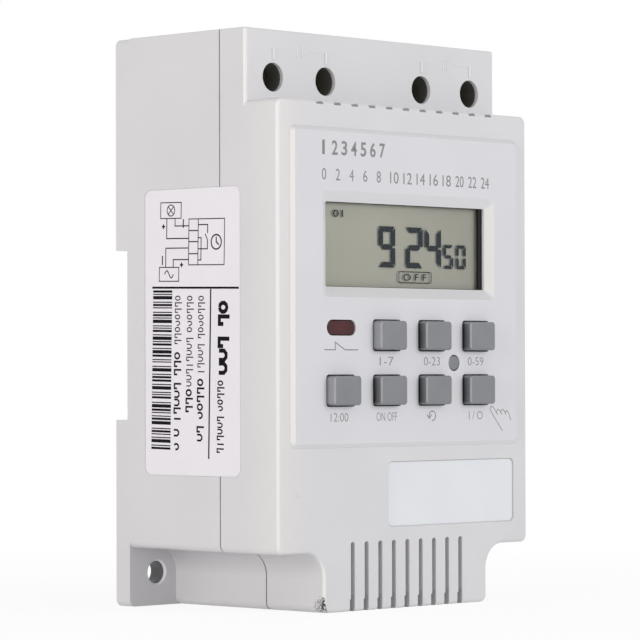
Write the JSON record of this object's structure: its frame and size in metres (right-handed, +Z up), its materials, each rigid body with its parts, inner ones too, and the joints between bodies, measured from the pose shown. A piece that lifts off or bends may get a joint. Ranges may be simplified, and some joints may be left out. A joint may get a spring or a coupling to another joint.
{
  "type": "digital timer",
  "caption": "Weekly digital timer switch for a mounting rail: grey stepped housing, display, grey keys, red lamp, clamp terminals behind the upper holes, screw ears.",
  "frame": {"origin": "middle of the bounding box's underside", "axes": "+Z up, the front with the display faces -Y, +X to the right as seen from the front"},
  "size_m": [0.0768, 0.0516, 0.12],
  "materials": {
    "case_plastic": "fine-grained light grey thermoplastic",
    "panel_plastic": "fine-grained light grey thermoplastic",
    "key_plastic": "satin mid grey thermoplastic",
    "lamp_plastic": "dark red translucent plastic",
    "lamp_body": "clear red moulded lamp",
    "display_glass": "clear glass",
    "display_film": "satin greenish grey reflecting film",
    "black_plastic": "matt black thermoplastic",
    "strip_rubber": "striped conductive rubber",
    "mat_rubber": "grey silicone rubber",
    "board_laminate": "green lacquered glass fibre laminate",
    "chip_resin": "black potting resin",
    "cell_steel": "brushed nickel-plated steel",
    "tab_steel": "thin nickel strip",
    "ribbon_plastic": "grey ribbon cable insulation",
    "relay_plastic": "blue thermoplastic",
    "capacitor_sleeve": "dark shrink sleeve",
    "diode_glass": "black epoxy with tinned leads",
    "terminal_plastic": "dark grey glass-filled thermoplastic",
    "screw_zinc": "yellow-passivated zinc on steel",
    "cage_zinc": "zinc-plated steel",
    "bar_brass": "tinned brass",
    "small_screw_zinc": "zinc-plated steel",
    "latch_plastic": "satin dark grey thermoplastic",
    "spring_steel": "spring steel wire",
    "side_label_paper": "printed white film",
    "front_label_paper": "blank white film"
  },
  "bodies": {
    "housing": {"rear_shell": "case_plastic", "front_shell": "case_plastic", "display_panel": "panel_plastic", "lamp_lens": "lamp_plastic", "lamp_led": "lamp_body", "lcd_frame": "black_plastic", "lcd_front_glass": "display_glass", "lcd_rear_glass": "display_glass", "lcd_reflector": "display_film", "zebra_lower": "strip_rubber", "zebra_upper": "strip_rubber", "display_board": "board_laminate", "key_mat": "mat_rubber", "controller_blob": "chip_resin", "watch_crystal": "tab_steel", "backup_cell": "cell_steel", "cell_tabs": "tab_steel", "ribbon_cable": "ribbon_plastic", "main_board": "board_laminate", "relay": "relay_plastic", "supply_capacitor": "capacitor_sleeve", "bridge_rectifier": "black_plastic", "driver_transistor": "black_plastic", "flyback_diode": "diode_glass", "terminal_housing": "terminal_plastic", "side_label": "side_label_paper", "front_label": "front_label_paper", "case_screws": "small_screw_zinc", "display_board_screws": "small_screw_zinc", "main_board_screws": "small_screw_zinc", "latch_spring": "spring_steel", "terminal_bar_1": "bar_brass", "terminal_bar_2": "bar_brass", "terminal_bar_3": "bar_brass", "terminal_bar_4": "bar_brass"},
    "key_clock_body": {"key_clock": "key_plastic"},
    "key_timer_body": {"key_timer": "key_plastic"},
    "key_recall_body": {"key_recall": "key_plastic"},
    "key_manual_body": {"key_manual": "key_plastic"},
    "key_week_body": {"key_week": "key_plastic"},
    "key_hour_body": {"key_hour": "key_plastic"},
    "key_minute_body": {"key_minute": "key_plastic"},
    "reset_button_body": {"reset_button": "key_plastic"},
    "rail_latch_body": {"rail_latch": "latch_plastic"},
    "terminal_screw_1_body": {"terminal_screw_1": "screw_zinc"},
    "terminal_screw_2_body": {"terminal_screw_2": "screw_zinc"},
    "terminal_screw_3_body": {"terminal_screw_3": "screw_zinc"},
    "terminal_screw_4_body": {"terminal_screw_4": "screw_zinc"},
    "terminal_cage_1_body": {"terminal_cage_1": "cage_zinc"},
    "terminal_cage_2_body": {"terminal_cage_2": "cage_zinc"},
    "terminal_cage_3_body": {"terminal_cage_3": "cage_zinc"},
    "terminal_cage_4_body": {"terminal_cage_4": "cage_zinc"}
  },
  "joints": [
    {"name": "key_clock_press", "type": "slide", "parent": "housing", "child": "key_clock_body", "axis": [0, 1, 0], "range_m": [0, 0.001], "stiffness_N_per_m": 1200, "deforming": ["key_mat"]},
    {"name": "key_timer_press", "type": "slide", "parent": "housing", "child": "key_timer_body", "axis": [0, 1, 0], "range_m": [0, 0.001], "stiffness_N_per_m": 1200, "deforming": ["key_mat"]},
    {"name": "key_recall_press", "type": "slide", "parent": "housing", "child": "key_recall_body", "axis": [0, 1, 0], "range_m": [0, 0.001], "stiffness_N_per_m": 1200, "deforming": ["key_mat"]},
    {"name": "key_manual_press", "type": "slide", "parent": "housing", "child": "key_manual_body", "axis": [0, 1, 0], "range_m": [0, 0.001], "stiffness_N_per_m": 1200, "deforming": ["key_mat"]},
    {"name": "key_week_press", "type": "slide", "parent": "housing", "child": "key_week_body", "axis": [0, 1, 0], "range_m": [0, 0.001], "stiffness_N_per_m": 1200, "deforming": ["key_mat"]},
    {"name": "key_hour_press", "type": "slide", "parent": "housing", "child": "key_hour_body", "axis": [0, 1, 0], "range_m": [0, 0.001], "stiffness_N_per_m": 1200, "deforming": ["key_mat"]},
    {"name": "key_minute_press", "type": "slide", "parent": "housing", "child": "key_minute_body", "axis": [0, 1, 0], "range_m": [0, 0.001], "stiffness_N_per_m": 1200, "deforming": ["key_mat"]},
    {"name": "reset_press", "type": "slide", "parent": "housing", "child": "reset_button_body", "axis": [0, 1, 0], "range_m": [0, 0.0008], "stiffness_N_per_m": 1200, "deforming": ["key_mat"]},
    {"name": "latch_slide", "type": "slide", "parent": "housing", "child": "rail_latch_body", "axis": [0, 0, -1], "range_m": [0, 0.003], "stiffness_N_per_m": 3000, "deforming": ["latch_spring"]},
    {"name": "terminal_screw_1_turn", "type": "hinge", "parent": "housing", "child": "terminal_screw_1_body", "pos_m": [-0.0303, -0.0082, 0.1101], "axis": [0, 1, 0], "range_deg": [0, 2160]},
    {"name": "terminal_cage_1_lift", "type": "slide", "parent": "housing", "child": "terminal_cage_1_body", "axis": [0, -1, 0], "range_m": [0, 0.0042]},
    {"name": "terminal_screw_2_turn", "type": "hinge", "parent": "housing", "child": "terminal_screw_2_body", "pos_m": [-0.0148, -0.0082, 0.1101], "axis": [0, 1, 0], "range_deg": [0, 2160]},
    {"name": "terminal_cage_2_lift", "type": "slide", "parent": "housing", "child": "terminal_cage_2_body", "axis": [0, -1, 0], "range_m": [0, 0.0042]},
    {"name": "terminal_screw_3_turn", "type": "hinge", "parent": "housing", "child": "terminal_screw_3_body", "pos_m": [0.0148, -0.0082, 0.1101], "axis": [0, 1, 0], "range_deg": [0, 2160]},
    {"name": "terminal_cage_3_lift", "type": "slide", "parent": "housing", "child": "terminal_cage_3_body", "axis": [0, -1, 0], "range_m": [0, 0.0042]},
    {"name": "terminal_screw_4_turn", "type": "hinge", "parent": "housing", "child": "terminal_screw_4_body", "pos_m": [0.0303, -0.0082, 0.1101], "axis": [0, 1, 0], "range_deg": [0, 2160]},
    {"name": "terminal_cage_4_lift", "type": "slide", "parent": "housing", "child": "terminal_cage_4_body", "axis": [0, -1, 0], "range_m": [0, 0.0042]}
  ],
  "couplings": [
    {"joint": "terminal_screw_1_turn", "follows": "terminal_cage_1_lift", "rad_per_m": 8976},
    {"joint": "terminal_screw_2_turn", "follows": "terminal_cage_2_lift", "rad_per_m": 8976},
    {"joint": "terminal_screw_3_turn", "follows": "terminal_cage_3_lift", "rad_per_m": 8976},
    {"joint": "terminal_screw_4_turn", "follows": "terminal_cage_4_lift", "rad_per_m": 8976}
  ]
}
